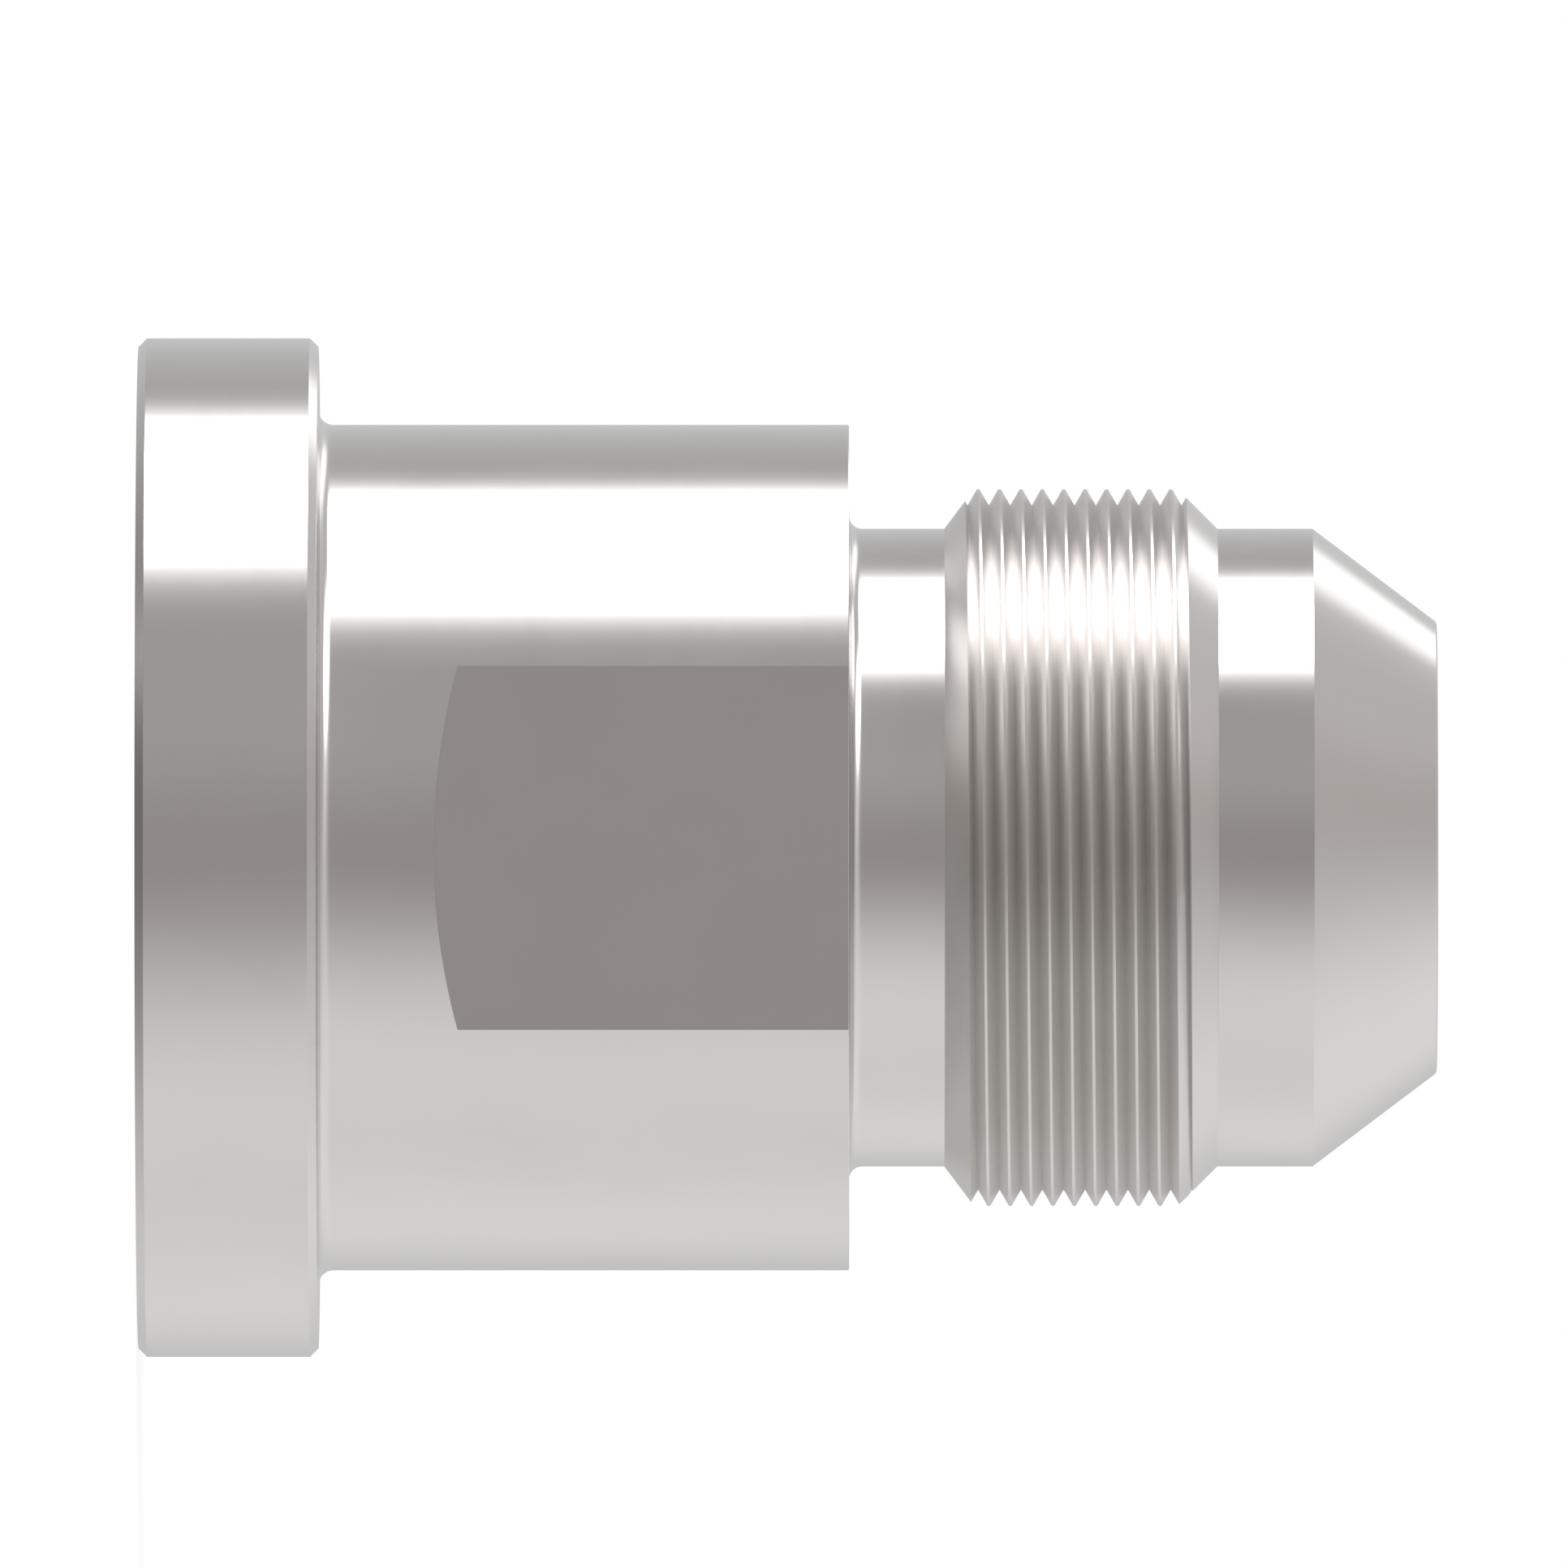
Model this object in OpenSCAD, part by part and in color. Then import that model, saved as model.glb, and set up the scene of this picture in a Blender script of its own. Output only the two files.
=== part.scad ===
// Flange adapter: a flange head on one end and a threaded, cone-nosed male end on the other,
// turned from one bar of steel. The bore lies along +Z, and the part stands on its flange face.

/* [Flange head] */
// Outside diameter of the flange head
head_d = 38.1; // [35:0.1:60]
// Thickness of the flange head
head_h = 6.73; // [5:0.01:12]
// Width of the 45 degree chamfer on both rims of the head
head_edge = 0.32; // [0.1:0.01:0.8]

/* [Face gland] */
// Outside diameter of the O-ring gland in the flange face
gland_outer_d = 31.88; // [26:0.02:34]
// Inside diameter of the gland
gland_inner_d = 22.3; // [18:0.1:27]
// Depth of the gland
gland_depth = 2.82; // [1.5:0.01:4]

/* [Body] */
// Diameter of the body between the head and the shoulder
body_d = 31.62; // [29:0.02:36]
// Length of the body from the head to the shoulder
body_h = 19.84; // [17:0.01:40]
// Radius of the fillet where the body meets the head
body_fillet = 0.56; // [0.2:0.01:0.8]

/* [Wrench flats] */
// Distance across the two flats
flats_across = 28.575; // [27.5:0.005:31]
// Length of a flat from the shoulder to the top of its curved end
flat_l = 15.48; // [8:0.02:16.5]
// Radius of the curved end of a flat
flat_end_r = 26; // [20:0.5:60]

/* [Threaded end] */
// Diameter of the neck under the thread and of the land behind the nose
neck_d = 23.85; // [22:0.05:25.4]
// Length of the neck from the shoulder to the thread
neck_h = 3.56; // [2:0.01:8]
// Radius of the fillet where the neck meets the shoulder
neck_fillet = 0.49; // [0.2:0.01:0.9]
// Outside diameter of the thread
thread_d = 26.8; // [25.6:0.05:27.4]
// Pitch of the right-hand thread
thread_pitch = 0.8; // [0.6:0.05:1.6]
// Length of the thread with its run-out and its lead-in chamfer
thread_l = 10.21; // [7:0.01:20]
// Slope of the run-out behind the thread, measured from the axis
runout_angle = 53; // [35:1:70]
// Slope of the lead-in chamfer in front of the thread, measured from the axis
lead_angle = 45; // [30:1:60]
// Length of the plain land between the thread and the nose cone
land_h = 3.56; // [1:0.01:8]

/* [Nose] */
// Slope of the sealing cone, measured from the axis
nose_angle = 37; // [30:1:60]
// Diameter of the flat tip of the nose
tip_d = 16.86; // [16.4:0.02:20]

/* [Bore] */
// Diameter of the through bore
bore_d = 15.5; // [8:0.1:15.8]
// Width of the 45 degree chamfer at both mouths of the bore
bore_edge = 0.25; // [0.1:0.01:0.3]

/* [Hidden] */

$fn = 144;
// Overlap that keeps cut faces clear of each other
over = 1;
steel = [0.56, 0.54, 0.53];

head_r = head_d / 2;
body_r = body_d / 2;
neck_r = neck_d / 2;
thread_r = thread_d / 2;
tip_r = tip_d / 2;
bore_r = bore_d / 2;

// Heights along the axis, from the flange face
shoulder_z = head_h + body_h;
runout_z = shoulder_z + neck_h;
crest_start_z = runout_z + (thread_r - neck_r) / tan(runout_angle);
land_z = runout_z + thread_l;
crest_end_z = land_z - (thread_r - neck_r) / tan(lead_angle);
cone_z = land_z + land_h;
tip_z = cone_z + (neck_r - tip_r) / tan(nose_angle);

// Thread form: 60 degrees, crest flat of an eighth of the pitch, sharp root
flank_angle = 30;
thread_depth = 7 / 8 * thread_pitch * cos(flank_angle);
root_r = thread_r - thread_depth;
crest_w = thread_pitch / 8;
// The groove's cutter stands this far out of the crests, so that its turns stay clear of each other
groove_proud = 0.6 * crest_w / 2 / tan(flank_angle);
groove_r = thread_r + groove_proud;
groove_half_w = (groove_r - root_r) * tan(flank_angle);
// Straight steps of the groove in one turn, and the scale that centres them on the true circle
turn_steps = 72;
chord_scale = 2 / (1 + cos(180 / turn_steps));
// Both ends of the groove lie in free air, beyond the run-out and the lead-in chamfer
groove_start_z = runout_z - 0.33;
root_exit_z = land_z - (root_r - neck_r) / tan(lead_angle);
groove_turns = (root_exit_z - groove_start_z) / thread_pitch + 0.4;
groove_steps = ceil(groove_turns * turn_steps);

// Filling of the concave corner between a wall at radius r and a face at height z
module corner_fillet(r, z, radius) {
    difference() {
        translate([r - over, z - over]) square(radius + over);
        translate([r + radius, z + radius]) circle(radius);
    }
}

// Half section of the outside, radius against height, with the thread still a plain band
module outer_section() {
    polygon([
        [0, 0],
        [head_r - head_edge, 0],
        [head_r, head_edge],
        [head_r, head_h - head_edge],
        [head_r - head_edge, head_h],
        [body_r, head_h],
        [body_r, shoulder_z],
        [neck_r, shoulder_z],
        [neck_r, runout_z],
        [thread_r, crest_start_z],
        [thread_r, crest_end_z],
        [neck_r, land_z],
        [neck_r, cone_z],
        [tip_r, tip_z],
        [0, tip_z]
    ]);
    corner_fillet(body_r, head_h, body_fillet);
    corner_fillet(neck_r, shoulder_z, neck_fillet);
}

// Three corners of the groove's cutter at one step: root, rear outer edge and front outer edge
function groove_ring(step) =
    let (
        a = 360 * step / turn_steps,
        z = groove_start_z + thread_pitch * step / turn_steps,
        corners = [[root_r, 0], [groove_r, -groove_half_w], [groove_r, groove_half_w]]
    )
    [for (c = corners) [c.x * chord_scale * cos(a), c.x * chord_scale * sin(a), z + c.y]];

// V groove of the right-hand thread, as one long helical prism
module thread_groove() {
    points = [for (step = [0:groove_steps]) each groove_ring(step)];
    sides = [
        for (step = [0:groove_steps - 1], c = [0:2])
            let (
                near = 3 * step + c,
                near_next = 3 * step + (c + 1) % 3,
                far = near + 3,
                far_next = near_next + 3
            )
            each [[near, near_next, far_next], [near, far_next, far]]
    ];
    last = 3 * groove_steps;
    polyhedron(points, concat([[0, 2, 1]], sides, [[last, last + 1, last + 2]]), convexity = 20);
}

// Everything outside one wrench flat, ending in an arc towards the head
module flat_cutter() {
    rotate([-90, 0, 0])
        translate([0, -(shoulder_z - flat_l + flat_end_r), flats_across / 2])
            cylinder(r = flat_end_r, h = body_r);
}

// Ring groove in the flange face that holds the O-ring
module face_gland() {
    difference() {
        translate([0, 0, -over]) cylinder(d = gland_outer_d, h = gland_depth + over);
        translate([0, 0, -2 * over]) cylinder(d = gland_inner_d, h = gland_depth + 3 * over);
    }
}

// Through bore with a chamfer at each mouth
module through_bore() {
    translate([0, 0, -over]) cylinder(r = bore_r, h = tip_z + 2 * over);
    translate([0, 0, -over])
        cylinder(r1 = bore_r + bore_edge + over, r2 = bore_r, h = bore_edge + over);
    translate([0, 0, tip_z - bore_edge])
        cylinder(r1 = bore_r, r2 = bore_r + bore_edge + over, h = bore_edge + over);
}

module adapter_body() {
    color(steel)
        difference() {
            rotate_extrude() outer_section();
            thread_groove();
            flat_cutter();
            mirror([0, 1, 0]) flat_cutter();
            face_gland();
            through_bore();
        }
}

adapter_body();
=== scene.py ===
# Flange adapter: the turned steel part, its finishes, the studio and the camera
import bpy
from math import atan2, cos, pi, radians, sin, sqrt, tan
from mathutils import Matrix, Vector


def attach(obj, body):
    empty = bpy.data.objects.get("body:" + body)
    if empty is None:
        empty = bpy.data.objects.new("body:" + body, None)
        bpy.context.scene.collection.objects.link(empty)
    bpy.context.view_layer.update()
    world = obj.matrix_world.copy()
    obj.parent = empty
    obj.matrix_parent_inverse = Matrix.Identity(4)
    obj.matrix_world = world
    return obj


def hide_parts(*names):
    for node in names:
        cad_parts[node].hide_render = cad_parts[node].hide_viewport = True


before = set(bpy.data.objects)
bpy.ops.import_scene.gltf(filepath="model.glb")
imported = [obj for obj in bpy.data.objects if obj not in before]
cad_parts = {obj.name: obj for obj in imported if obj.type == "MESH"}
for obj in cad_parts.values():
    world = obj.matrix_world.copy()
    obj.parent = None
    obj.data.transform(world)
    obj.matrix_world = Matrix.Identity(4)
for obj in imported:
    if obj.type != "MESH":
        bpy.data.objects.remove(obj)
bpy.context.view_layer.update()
millimetre = 0.001
print("frame loaded")


# Turned body: sizes in millimetres, heights measured along the bore from the flange face.
# In the functions below, a is this dictionary.
adapter = {
    "headRadius": 19.05,
    "headHeight": 6.73,
    "headEdge": 0.32,
    "glandOuter": 15.94,
    "glandInner": 11.15,
    "glandDepth": 2.82,
    "glandCorner": 0.2,
    "glandLip": 0.08,
    "cornerSteps": 4,
    "bodyRadius": 15.81,
    "bodyFillet": 0.56,
    "shoulder": 26.57,
    "shoulderEdge": 0.04,
    "neckRadius": 11.925,
    "neckFillet": 0.49,
    "filletSteps": 12,
    "flatReach": 14.2875,  # from the axis to a wrench flat
    "flatLength": 15.48,
    "flatEndRadius": 26.0,
    "columnsOverFlat": 40,
    "columnsBeside": 104,
    "runoutStart": 30.13,
    "runoutSlope": 53,
    "leadEnd": 40.34,
    "leadSlope": 45,
    "threadRadius": 13.4,
    "threadPitch": 0.8,
    "grooveStart": 29.8,
    "flankSlope": 30,
    "coneStart": 43.9,
    "noseSlope": 37,
    "tipRadius": 8.43,
    "tipEdge": 0.05,
    "boreRadius": 7.75,
    "boreEdge": 0.25,
    "smoothBelow": 21,  # sharper edges than this many degrees stay sharp
}
tiny = 1e-6


def coneRise(innerRadius, outerRadius, slope):
    return (outerRadius - innerRadius) / tan(radians(slope))


def roundCorner(radius, height, size, fromAngle, toAngle, steps):
    # points of a quarter round, as radius and height
    points = []
    for step in range(steps + 1):
        angle = radians(fromAngle + (toAngle - fromAngle) * step / steps)
        points.append((radius + size * cos(angle), height + size * sin(angle)))
    return points


def faceSection(a):
    # flange face with its O-ring gland, then the head, from the bore outwards
    corner, lip, steps = a["glandCorner"], a["glandLip"], a["cornerSteps"]
    inner, outer, depth = a["glandInner"], a["glandOuter"], a["glandDepth"]
    rim, edge, top = a["headRadius"], a["headEdge"], a["headHeight"]
    fillet = a["bodyFillet"]
    points = [(a["boreRadius"], a["boreEdge"]), (a["boreRadius"] + a["boreEdge"], 0)]
    points += [(inner - lip, 0), (inner, lip)]
    points += roundCorner(inner + corner, depth - corner, corner, 180, 90, steps)
    points += roundCorner(outer - corner, depth - corner, corner, 90, 0, steps)
    points += [(outer, lip), (outer + lip, 0)]
    points += [(rim - edge, 0), (rim, edge), (rim, top - edge), (rim - edge, top)]
    points += roundCorner(a["bodyRadius"] + fillet, top + fillet, fillet, 270, 180, a["filletSteps"])
    return points


def neckSection(a):
    # from the shoulder's inner side to the neck
    fillet = a["neckFillet"]
    return roundCorner(a["neckRadius"] + fillet, a["shoulder"] + fillet, fillet, 270, 180, a["filletSteps"])


def noseSection(a):
    # sealing cone and tip, then back into the bore
    coneEnd = a["coneStart"] + coneRise(a["tipRadius"], a["neckRadius"], a["noseSlope"])
    edge = a["tipEdge"]
    return [
        (a["neckRadius"], a["coneStart"]),
        (a["tipRadius"] + edge * tan(radians(a["noseSlope"])), coneEnd - edge),
        (a["tipRadius"] - edge, coneEnd),
        (a["boreRadius"] + a["boreEdge"], coneEnd),
        (a["boreRadius"], coneEnd - a["boreEdge"]),
    ]


def threadSection(a, turn):
    # the plain band, less the V groove wherever that is lower, at one part of a turn
    crest, foot = a["threadRadius"], a["neckRadius"]
    pitch, steep = a["threadPitch"], 1 / tan(radians(a["flankSlope"]))
    root = crest - 7 / 8 * pitch * cos(radians(a["flankSlope"]))
    band = [
        (a["runoutStart"], foot),
        (a["runoutStart"] + coneRise(foot, crest, a["runoutSlope"]), crest),
        (a["leadEnd"] - coneRise(foot, crest, a["leadSlope"]), crest),
        (a["leadEnd"], foot),
    ]

    def bandAt(z):
        for (z0, r0), (z1, r1) in zip(band, band[1:]):
            if z <= z1:
                return r0 + (r1 - r0) * (z - z0) / (z1 - z0)
        return foot

    def nearestGroove(z):
        return round((z - a["grooveStart"]) / pitch - turn)

    def grooveAt(z):
        centre = a["grooveStart"] + pitch * (nearestGroove(z) + turn)
        return root + abs(z - centre) * steep

    marks = [(z, ("corner", i)) for i, (z, r) in enumerate(band)]
    for k in range(nearestGroove(a["runoutStart"]), nearestGroove(a["leadEnd"]) + 1):
        centre = a["grooveStart"] + pitch * (k + turn)
        marks += [(centre, ("root", k)), (centre + pitch / 2, None)]
    marks = sorted((m for m in marks if band[0][0] <= m[0] <= band[-1][0]), key=lambda m: m[0])
    section = []
    for (z, label), (nextZ, after) in zip(marks, marks[1:] + [(None, None)]):
        over = bandAt(z) - grooveAt(z)
        if label and (over > 0) == (label[0] == "root"):
            section.append((label, min(bandAt(z), grooveAt(z)), z))
        if nextZ is None:
            break
        overNext = bandAt(nextZ) - grooveAt(nextZ)
        if (over > 0) != (overNext > 0):
            cross = z + (nextZ - z) * over / (over - overNext)
            side = "enter" if overNext > 0 else "leave"
            section.append(((side, nearestGroove((z + nextZ) / 2)), bandAt(cross), cross))
    return section


def flatSpan(a):
    # half the angle of the body that a wrench flat takes
    return atan2(sqrt(a["bodyRadius"] ** 2 - a["flatReach"] ** 2), a["flatReach"])


def columnAngles(a):
    # both edges of both flats fall on a column
    span, angles = flatSpan(a), []
    corners = [pi / 2 - span, pi / 2 + span, 3 * pi / 2 - span, 3 * pi / 2 + span, 5 * pi / 2 - span]
    counts = [a["columnsOverFlat"], a["columnsBeside"]] * 2
    for start, end, count in zip(corners, corners[1:], counts):
        angles += [start + (end - start) * i / count for i in range(count)]
    return sorted((angle % (2 * pi) for angle in angles))


def bodyColumn(a, angle):
    # the body's top part in one column: plain round, or stepped in to the flat
    top, edge, radius = a["shoulder"], a["shoulderEdge"], a["bodyRadius"]
    x, y = radius * cos(angle), radius * sin(angle)
    reach = abs(y) - a["flatReach"]
    if reach < -tiny:
        inside = (radius - edge) / radius
        return [("bodyTop", (x, y, top - edge)), ("shoulder", (x * inside, y * inside, top))]
    side = a["flatReach"] * (1 if y > 0 else -1)
    inner = (a["flatReach"] - edge) * (1 if y > 0 else -1)
    arcCentre = top - a["flatLength"] + a["flatEndRadius"]
    start = arcCentre - sqrt(a["flatEndRadius"] ** 2 - x * x)
    column = [("flatEnd", (x, y, start))]
    if reach > tiny:
        column.append(("flatFoot", (x, side, start)))
    return column + [("bodyTop", (x, side, top - edge)), ("shoulder", (x, inner, top))]


def adapterColumn(a, angle):
    # closed section of the whole part at one angle: labelled points, up the outside and down the bore
    def turned(label, points):
        return [((label, i), (r * cos(angle), r * sin(angle), z)) for i, (r, z) in enumerate(points)]

    column = turned("face", faceSection(a)) + bodyColumn(a, angle) + turned("neck", neckSection(a))
    for label, r, z in threadSection(a, angle / (2 * pi)):
        column.append((label, (r * cos(angle), r * sin(angle), z)))
    return column + turned("nose", noseSection(a))


def stitch(left, right, heights):
    # faces between two neighbouring columns; a point met in one column only gets triangles
    faces = []
    place = {label: i for i, (label, v) in enumerate(right)}
    shared = [(i, place[label]) for i, (label, v) in enumerate(left) if label in place]
    shared.append((len(left), len(right)))
    near = [v for label, v in left] + [left[0][1]]
    far = [v for label, v in right] + [right[0][1]]
    for (i, j), (iEnd, jEnd) in zip(shared, shared[1:]):
        while i < iEnd or j < jEnd:
            upLeft = heights[near[i + 1]] if i < iEnd else None
            upRight = heights[far[j + 1]] if j < jEnd else None
            single = iEnd - i == 1 and jEnd - j == 1
            if single or (upLeft is not None and upRight is not None and abs(upLeft - upRight) < tiny):
                faces.append((near[i], far[j], far[j + 1], near[i + 1]))
                i, j = i + 1, j + 1
            elif upRight is None or (upLeft is not None and upLeft < upRight):
                faces.append((near[i], far[j], near[i + 1]))
                i += 1
            else:
                faces.append((near[i], far[j], far[j + 1]))
                j += 1
    return faces


def nextTurn(column):
    # after a full turn, every groove has moved up by one
    return [((l[0], l[1] - 1), v) if l[0] in ("root", "enter", "leave") else (l, v) for l, v in column]


def buildAdapterMesh(a):
    vertices, columns, faces = [], [], []
    for angle in columnAngles(a):
        column = []
        for label, point in adapterColumn(a, angle):
            column.append((label, len(vertices)))
            vertices.append(point)
        columns.append(column)
    heights = [v[2] for v in vertices]
    for left, right in zip(columns, columns[1:] + [nextTurn(columns[0])]):
        faces += stitch(left, right, heights)
    mesh = bpy.data.meshes.new("turnedAdapter")
    mesh.from_pydata([Vector(v) * millimetre for v in vertices], [], faces)
    mesh.validate()
    mesh.shade_smooth()
    mesh.set_sharp_from_angle(angle=radians(a["smoothBelow"]))
    mesh.update()
    return mesh


turnedAdapter = bpy.data.objects.new("turnedAdapter", buildAdapterMesh(adapter))
bpy.context.scene.collection.objects.link(turnedAdapter)
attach(turnedAdapter, "root")
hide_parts("adapter_body")
print("turned body built:", len(turnedAdapter.data.polygons), "faces")


# Small helpers for node trees; an input is given by its name, or as i0, i1 and so on by its place
def setInput(tree, node, name, value):
    socket = node.inputs[int(name[1:])] if name[0] == "i" and name[1:].isdigit() else node.inputs[name]
    if isinstance(value, bpy.types.NodeSocket):
        tree.links.new(value, socket)
    else:
        socket.default_value = value


def addNode(tree, kind, settings=None, **inputs):
    node = tree.nodes.new(kind)
    for name, value in (settings or {}).items():
        setattr(node, name, value)
    for name, value in inputs.items():
        setInput(tree, node, name, value)
    return node


def calc(tree, operation, first, second=0.0):
    return addNode(tree, "ShaderNodeMath", {"operation": operation}, i0=first, i1=second).outputs[0]


def scaled(tree, factor, vector):
    return addNode(tree, "ShaderNodeVectorMath", {"operation": "SCALE"}, i0=vector, Scale=factor).outputs[0]


def added(tree, first, second):
    return addNode(tree, "ShaderNodeVectorMath", {"operation": "ADD"}, i0=first, i1=second).outputs[0]


def mixed(tree, share, first, second):
    # first where share is 0, second where it is 1
    return addNode(tree, "ShaderNodeMix", i0=share, i2=first, i3=second).outputs[0]


def blended(tree, share, first, second, blend="MIX"):
    # the same for two colours
    settings = {"data_type": "RGBA", "blend_type": blend}
    return addNode(tree, "ShaderNodeMix", settings, i0=share, i6=first, i7=second).outputs[2]


def centred(tree, noise, amount):
    # a noise turned into a change around zero
    return calc(tree, "MULTIPLY", calc(tree, "SUBTRACT", noise, 0.5), amount)


def alignment(tree, direction, target):
    # cosine of the angle between a direction and a fixed target
    facing = addNode(tree, "ShaderNodeVectorMath", {"operation": "DOT_PRODUCT"}, i0=direction, i1=target)
    return facing.outputs["Value"]


def gentleStep(tree, value, start, end):
    # goes from 0 at the start to 1 at the end
    ramp = {"interpolation_type": "SMOOTHSTEP"}
    return addNode(tree, "ShaderNodeMapRange", ramp, i0=value, i1=start, i2=end).outputs[0]


def between(tree, value, low, high, soft):
    # 1 inside a range and 0 outside, with soft ends
    rise = gentleStep(tree, value, low - soft, low + soft)
    fall = gentleStep(tree, value, high + soft, high - soft)
    return calc(tree, "MULTIPLY", rise, fall)


def seenDirectly(tree):
    # 1 for the camera and through glass; the steel mirrors the room, so glossy rays keep it
    path = addNode(tree, "ShaderNodeLightPath").outputs
    return calc(tree, "MAXIMUM", path["Is Camera Ray"], path["Is Transmission Ray"])


# Studio: a pale room with greyer walls, a panel and three round soft boxes, all of it in the world
studio = {
    "room": (1.21, 1.20, 1.18),
    "walls": [
        # direction, tightness, how much brighter or darker it is there
        ((-0.2, -1.0, 0.0), 3, (-0.99, -1.02, -1.02)),
        ((-0.3, -0.95, 0.0), 10, (0.30, 0.32, 0.33)),
        ((-0.2, 0.0, 1.0), 3, (-0.52, -0.54, -0.53)),
        ((-0.1, 0.0, 1.0), 12, (-0.14, -0.14, -0.15)),
        ((0.0, 0.0, -1.0), 3, (-0.81, -0.81, -0.80)),
        ((-0.1, 0.0, -1.0), 10, (-0.12, -0.11, -0.11)),
        ((0.0, 1.0, 0.0), 4, (-0.62, -0.60, -0.58)),
        ((-0.1, 1.0, 0.0), 16, (0.16, 0.15, 0.16)),
        ((-1.0, 0.0, 0.0), 3, (-0.61, -0.60, -0.60)),
        ((-0.8, 0.6, 0.0), 12, (-0.14, -0.14, -0.13)),
        ((1.0, 0.0, 0.0), 4, (-0.26, -0.28, -0.28)),
        ((-0.7, 0.3, -0.6), 6, (-0.26, -0.26, -0.26)),
        ((-0.3, 0.1, 0.95), 30, (0.18, 0.17, 0.17)),
        ((-0.17, -0.42, -0.89), 20, (0.35, 0.33, 0.32)),
        ((-0.21, -0.60, 0.77), 30, (0.20, 0.19, 0.18)),
        ((-0.45, -0.70, 0.55), 14, (0.32, 0.30, 0.27)),
        ((-0.45, -0.70, -0.55), 14, (0.32, 0.30, 0.27)),
    ],
    # the panel hangs on the -X side; its limits are slopes against that direction
    "panel": {"near": -0.295, "far": 0.325, "low": -0.3, "high": 0.36, "soft": 0.06, "least": 0.05},
    "panelGlow": (7.5, 7.2, 7.3),
    "roundBoxes": [
        {"direction": (-0.522, 0.726, 0.454), "radius": 11.8, "soft": 4.0, "glow": (0.88, 0.88, 0.87)},
        {"direction": (-0.707, -0.436, 0.558), "radius": 19.5, "soft": 6.5, "glow": (2.4, 2.35, 2.35)},
        {"direction": (-0.530, -0.147, -0.835), "radius": 15.0, "soft": 5.0, "glow": (2.6, 2.55, 2.55)},
    ],
    "backdrop": (1.0, 1.0, 1.0, 1.0),
}


def softEdge(tree, value, edge, soft):
    # rises gently from 0 to 1 around an edge; falls for a negative softness
    power = calc(tree, "EXPONENT", calc(tree, "DIVIDE", calc(tree, "SUBTRACT", edge, value), soft))
    return calc(tree, "DIVIDE", 1.0, calc(tree, "ADD", power, 1.0))


def wallGlow(tree, direction, wall):
    target, tightness, amount = wall
    facing = alignment(tree, direction, Vector(target).normalized())
    spread = calc(tree, "EXPONENT", calc(tree, "MULTIPLY", calc(tree, "SUBTRACT", facing, 1.0), tightness))
    return scaled(tree, spread, amount)


def panelLight(tree, direction, panel):
    x, y, z = addNode(tree, "ShaderNodeSeparateXYZ", i0=direction).outputs
    out = calc(tree, "MAXIMUM", calc(tree, "MULTIPLY", x, -1.0), panel["least"])
    across, along = calc(tree, "DIVIDE", y, out), calc(tree, "DIVIDE", z, out)
    light = between(tree, along, panel["low"], panel["high"], panel["soft"])
    for edge, soft in ((panel["near"], panel["soft"]), (panel["far"], -panel["soft"])):
        light = calc(tree, "MULTIPLY", light, softEdge(tree, across, edge, soft))
    front = calc(tree, "LESS_THAN", x, -panel["least"])
    return scaled(tree, calc(tree, "MULTIPLY", light, front), studio["panelGlow"])


def roundBoxLight(tree, direction, box):
    facing = alignment(tree, direction, Vector(box["direction"]).normalized())
    angle = calc(tree, "DEGREES", calc(tree, "ARCCOSINE", facing))
    disc = gentleStep(tree, angle, box["radius"] + box["soft"], box["radius"] - box["soft"])
    return scaled(tree, disc, box["glow"])


def buildWorld():
    world = bpy.data.worlds.new("studioWorld")
    bpy.context.scene.world = world
    world.use_nodes = True
    tree = world.node_tree
    tree.nodes.clear()
    direction = addNode(tree, "ShaderNodeTexCoord").outputs["Generated"]
    glow = studio["room"]
    for wall in studio["walls"]:
        glow = added(tree, glow, wallGlow(tree, direction, wall))
    glow = added(tree, glow, panelLight(tree, direction, studio["panel"]))
    for box in studio["roundBoxes"]:
        glow = added(tree, glow, roundBoxLight(tree, direction, box))
    room = addNode(tree, "ShaderNodeBackground", Color=glow)
    backdrop = addNode(tree, "ShaderNodeBackground", Color=studio["backdrop"])
    seen = seenDirectly(tree)
    mix = addNode(tree, "ShaderNodeMixShader", i0=seen, i1=room.outputs[0], i2=backdrop.outputs[0])
    addNode(tree, "ShaderNodeOutputWorld", Surface=mix.outputs[0])


buildWorld()
print("studio light ready")


# Camera: the photograph's view, with the bore's axis across the picture
cameraSetup = {
    "frameWidth": 58.643 * millimetre,
    "lens": 1720.0,
    "sensor": 36.0,
    "centre": Vector((-2.38, 0.0, 24.137)) * millimetre,
    "nearest": 0.5,  # clip distances, as shares of the camera's own distance
    "farthest": 2.0,
}


def buildCamera():
    data = bpy.data.cameras.new("studioCamera")
    data.sensor_width = cameraSetup["sensor"]
    data.lens = cameraSetup["lens"]
    distance = cameraSetup["frameWidth"] * data.lens / data.sensor_width
    data.clip_start = distance * cameraSetup["nearest"]
    data.clip_end = distance * cameraSetup["farthest"]
    camera = bpy.data.objects.new("studioCamera", data)
    bpy.context.scene.collection.objects.link(camera)
    right, up, back = Vector((0, 0, 1)), Vector((-1, 0, 0)), Vector((0, -1, 0))
    turn = Matrix((right, up, back)).transposed().to_4x4()
    camera.matrix_world = Matrix.Translation(cameraSetup["centre"] + back * distance) @ turn
    bpy.context.scene.camera = camera


buildCamera()
print("camera ready")


# Floor under the part: it takes the shadow, and for the camera a share of it glows white
floorSetup = {"reach": 1.0, "colour": (0.9, 0.9, 0.9, 1.0), "glow": 1.2, "share": 0.6}


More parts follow.
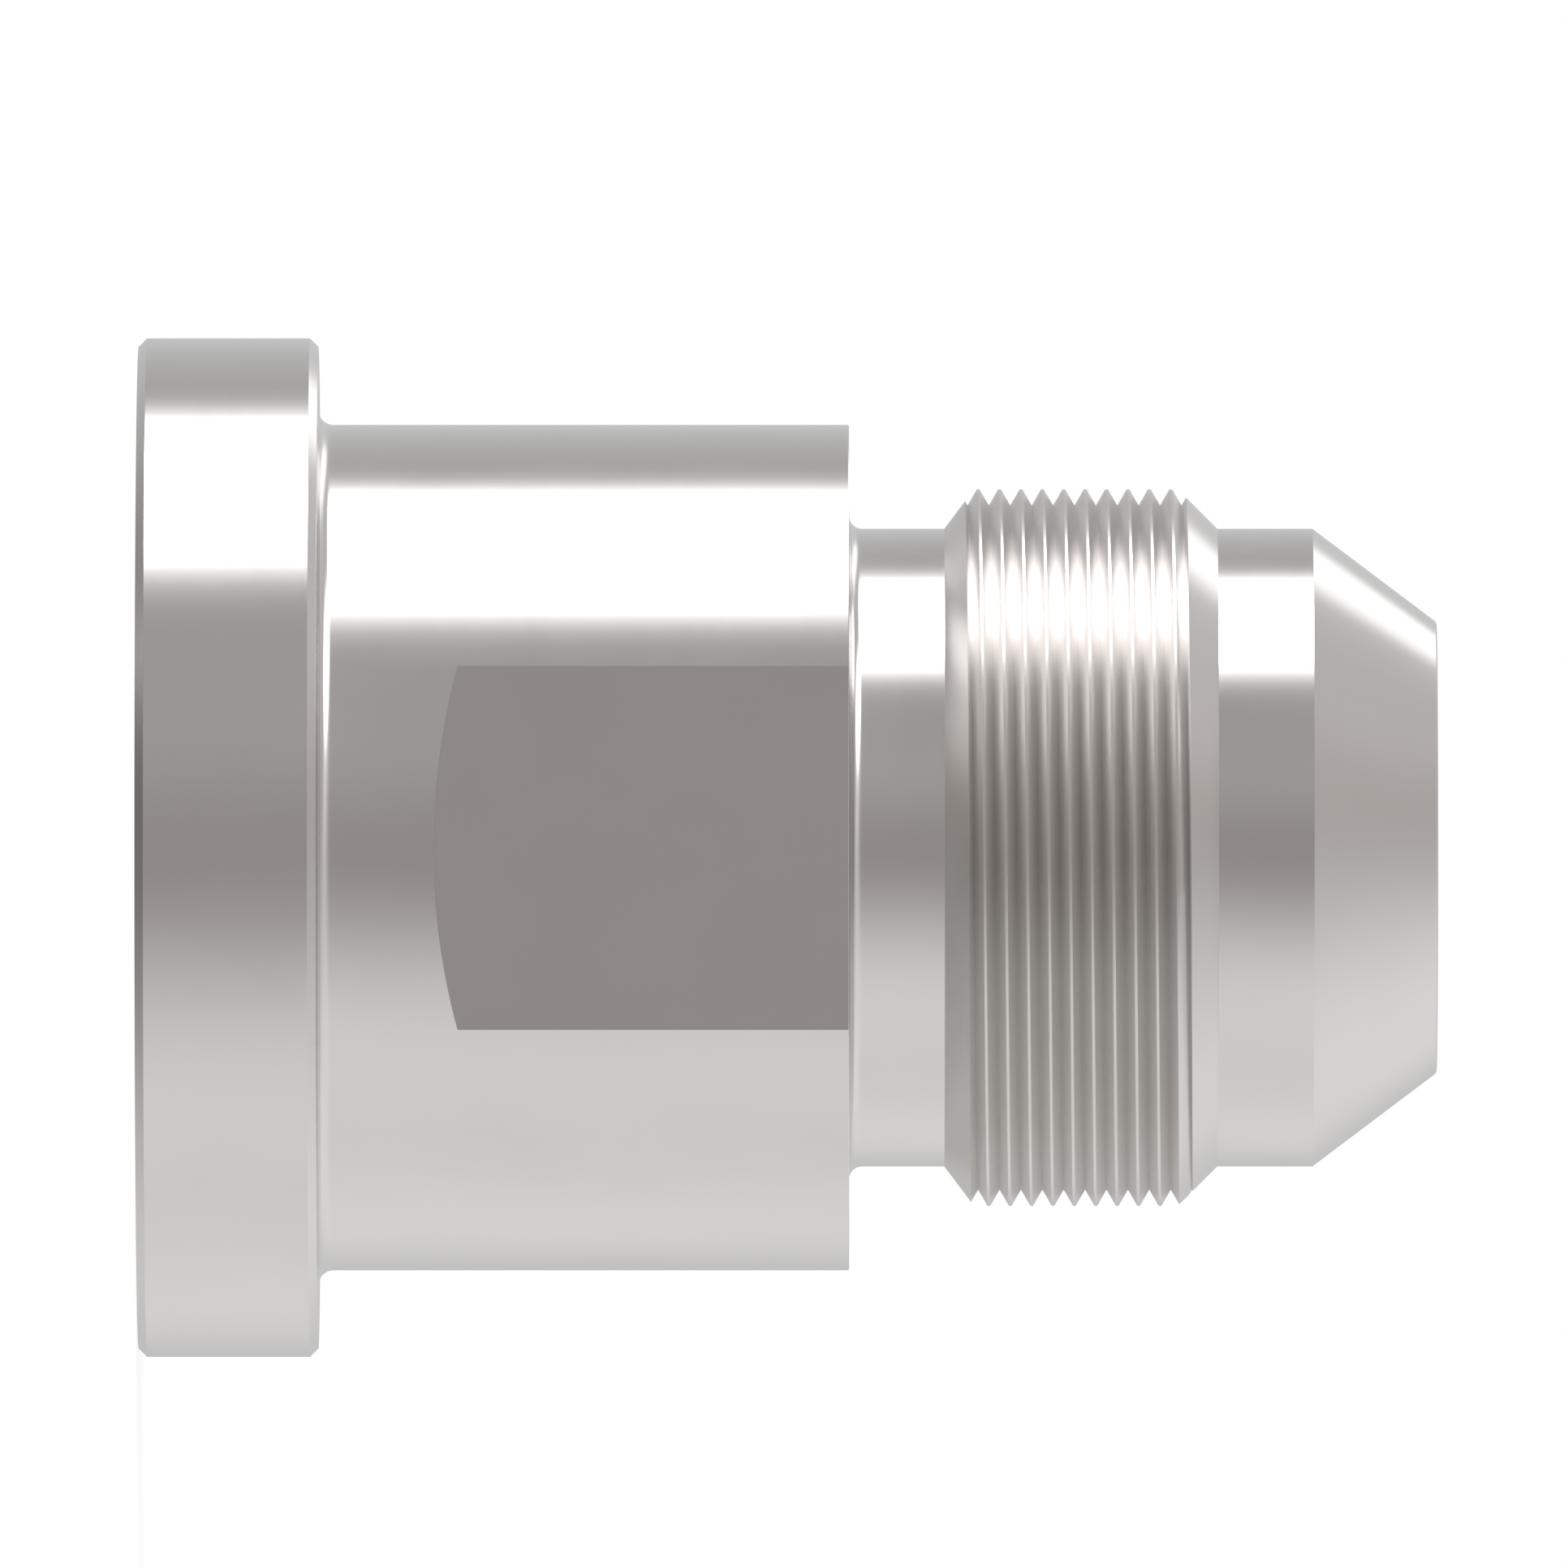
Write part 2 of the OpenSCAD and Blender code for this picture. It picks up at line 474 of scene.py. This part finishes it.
def buildFloorMaterial():
    material = bpy.data.materials.new("paleFloor")
    material.use_nodes = True
    tree = material.node_tree
    tree.nodes.clear()
    matt = addNode(tree, "ShaderNodeBsdfDiffuse", Color=floorSetup["colour"])
    glow = addNode(tree, "ShaderNodeEmission", Strength=floorSetup["glow"])
    share = calc(tree, "MULTIPLY", seenDirectly(tree), floorSetup["share"])
    mix = addNode(tree, "ShaderNodeMixShader", i0=share, i1=matt.outputs[0], i2=glow.outputs[0])
    addNode(tree, "ShaderNodeOutputMaterial", Surface=mix.outputs[0])
    return material


def buildFloor():
    mesh = bpy.data.meshes.new("studioFloor")
    r = floorSetup["reach"]
    mesh.from_pydata([(-r, -r, 0), (r, -r, 0), (r, r, 0), (-r, r, 0)], [], [(0, 1, 2, 3)])
    mesh.materials.append(buildFloorMaterial())
    floor = bpy.data.objects.new("studioFloor", mesh)
    bpy.context.scene.collection.objects.link(floor)
    floor.visible_glossy = False  # the steel mirrors the room, not this floor


buildFloor()
print("floor ready")


# Finish of the turned steel: lay lines of each tool, their roughness and a faint change of tone
steelSetup = {
    "darkTone": (0.685, 0.68, 0.675, 1.0),
    "paleTone": (0.715, 0.71, 0.705, 1.0),
    "threadTint": (1.008, 1.0, 0.99, 1.0),  # the thread looks a little warmer
    "turnedRoughness": 0.192,
    "threadRoughness": 0.3,
    "flatRoughness": 0.18,
    "boreRoughness": 0.3,
    "glandRoughness": 0.25,
    "lineRoughness": 0.02,
    "patchRoughness": 0.02,
    "patchesPerMillimetre": 0.25,
    "linesPerMillimetre": 7.0,
    "lineDepth": 0.0006 * millimetre,
    "grainsPerMillimetre": 30.0,
    "grainDepth": 0.0002 * millimetre,
    "levelMargin": 0.02,  # how far an area reaches past its own surface, in millimetres
    "ringMargin": 0.01,
    "depthMargin": 0.1,
    "fineBlend": 0.005,
    "blend": 0.01,
}


def partPlace(tree):
    # x, y, height and radius on the part, in millimetres
    place = scaled(tree, 1 / millimetre, addNode(tree, "ShaderNodeTexCoord").outputs["Object"])
    x, y, z = addNode(tree, "ShaderNodeSeparateXYZ", i0=place).outputs
    squares = calc(tree, "ADD", calc(tree, "POWER", x, 2.0), calc(tree, "POWER", y, 2.0))
    return x, y, z, calc(tree, "SQRT", squares)


def flatArea(tree, y, z, a, s):
    low, high = a["flatReach"] - s["levelMargin"], a["flatReach"] + s["levelMargin"]
    level = between(tree, calc(tree, "ABSOLUTE", y), low, high, s["fineBlend"])
    along = between(tree, z, a["shoulder"] - a["flatLength"], a["shoulder"], s["blend"])
    return calc(tree, "MULTIPLY", level, along)


def threadArea(tree, z, radius, a, s):
    # the run-out and the thread, but not the lead-in chamfer in front of it
    front = a["leadEnd"] + a["neckRadius"] - s["levelMargin"]
    behind = between(tree, calc(tree, "ADD", z, radius), 0.0, front, s["fineBlend"])
    return calc(tree, "MULTIPLY", behind, between(tree, z, a["runoutStart"], a["leadEnd"], s["blend"]))


def boreArea(tree, radius, a, s):
    return between(tree, radius, 0.0, a["boreRadius"] + a["boreEdge"] / 2, s["blend"])


def glandArea(tree, z, radius, a, s):
    inner, outer = a["glandInner"] - s["ringMargin"], a["glandOuter"] + s["ringMargin"]
    ring = between(tree, radius, inner, outer, s["fineBlend"])
    inside = between(tree, z, s["levelMargin"], a["glandDepth"] + s["depthMargin"], s["blend"])
    return calc(tree, "MULTIPLY", ring, inside)


def layLines(tree, x, z, radius, flat, thread, patch, a, s):
    # rings on turned faces, lines along the thread's flanks, arcs of the milling cutter on the flats
    arcSquare = calc(tree, "SUBTRACT", a["flatEndRadius"] ** 2, calc(tree, "POWER", x, 2.0))
    arc = calc(tree, "ADD", z, calc(tree, "SQRT", calc(tree, "MAXIMUM", arcSquare, 0.0)))
    across = mixed(tree, flat, radius, arc)
    plain = calc(tree, "SUBTRACT", 1.0, calc(tree, "MAXIMUM", flat, thread))
    along = calc(tree, "MULTIPLY", z, plain)
    lay = addNode(tree, "ShaderNodeCombineXYZ", i0=across, i1=along, i2=patch).outputs[0]
    lines = addNode(tree, "ShaderNodeTexNoise", Vector=lay, Scale=s["linesPerMillimetre"], Detail=3.0)
    return lines.outputs[0]


def steelRoughness(tree, lines, patch, areas, s):
    level = s["turnedRoughness"]
    for area, name in areas:
        level = mixed(tree, area, level, s[name])
    level = calc(tree, "ADD", level, centred(tree, lines, s["lineRoughness"]))
    return calc(tree, "ADD", level, centred(tree, patch, s["patchRoughness"]))


def steelBumps(tree, grain, lines, s):
    fine = addNode(tree, "ShaderNodeBump", Height=grain, Strength=1.0, Distance=s["grainDepth"])
    marks = addNode(tree, "ShaderNodeBump", Height=lines, Strength=1.0, Distance=s["lineDepth"])
    tree.links.new(fine.outputs[0], marks.inputs["Normal"])
    return marks.outputs[0]


def buildSteel(a, s):
    material = bpy.data.materials.new("turnedSteel")
    material.use_nodes = True
    tree = material.node_tree
    tree.nodes.clear()
    x, y, z, radius = partPlace(tree)
    place = addNode(tree, "ShaderNodeCombineXYZ", i0=x, i1=y, i2=z).outputs[0]
    patches = addNode(tree, "ShaderNodeTexNoise", Vector=place, Scale=s["patchesPerMillimetre"], Detail=2.0)
    grains = addNode(tree, "ShaderNodeTexNoise", Vector=place, Scale=s["grainsPerMillimetre"])
    patch, grain = patches.outputs[0], grains.outputs[0]
    flat, thread = flatArea(tree, y, z, a, s), threadArea(tree, z, radius, a, s)
    bore, gland = boreArea(tree, radius, a, s), glandArea(tree, z, radius, a, s)
    areas = [(thread, "threadRoughness"), (flat, "flatRoughness")]
    areas += [(gland, "glandRoughness"), (bore, "boreRoughness")]
    lines = layLines(tree, x, z, radius, flat, thread, patch, a, s)
    tone = blended(tree, patch, s["darkTone"], s["paleTone"])
    tone = blended(tree, thread, tone, s["threadTint"], "MULTIPLY")
    skin = addNode(tree, "ShaderNodeBsdfPrincipled", Metallic=1.0, Normal=steelBumps(tree, grain, lines, s))
    setInput(tree, skin, "Base Color", tone)
    setInput(tree, skin, "Roughness", steelRoughness(tree, lines, patch, areas, s))
    addNode(tree, "ShaderNodeOutputMaterial", Surface=skin.outputs[0])
    return material


turnedAdapter.data.materials.append(buildSteel(adapter, steelSetup))
print("steel ready")

bpy.context.scene.view_settings.view_transform = "Standard"
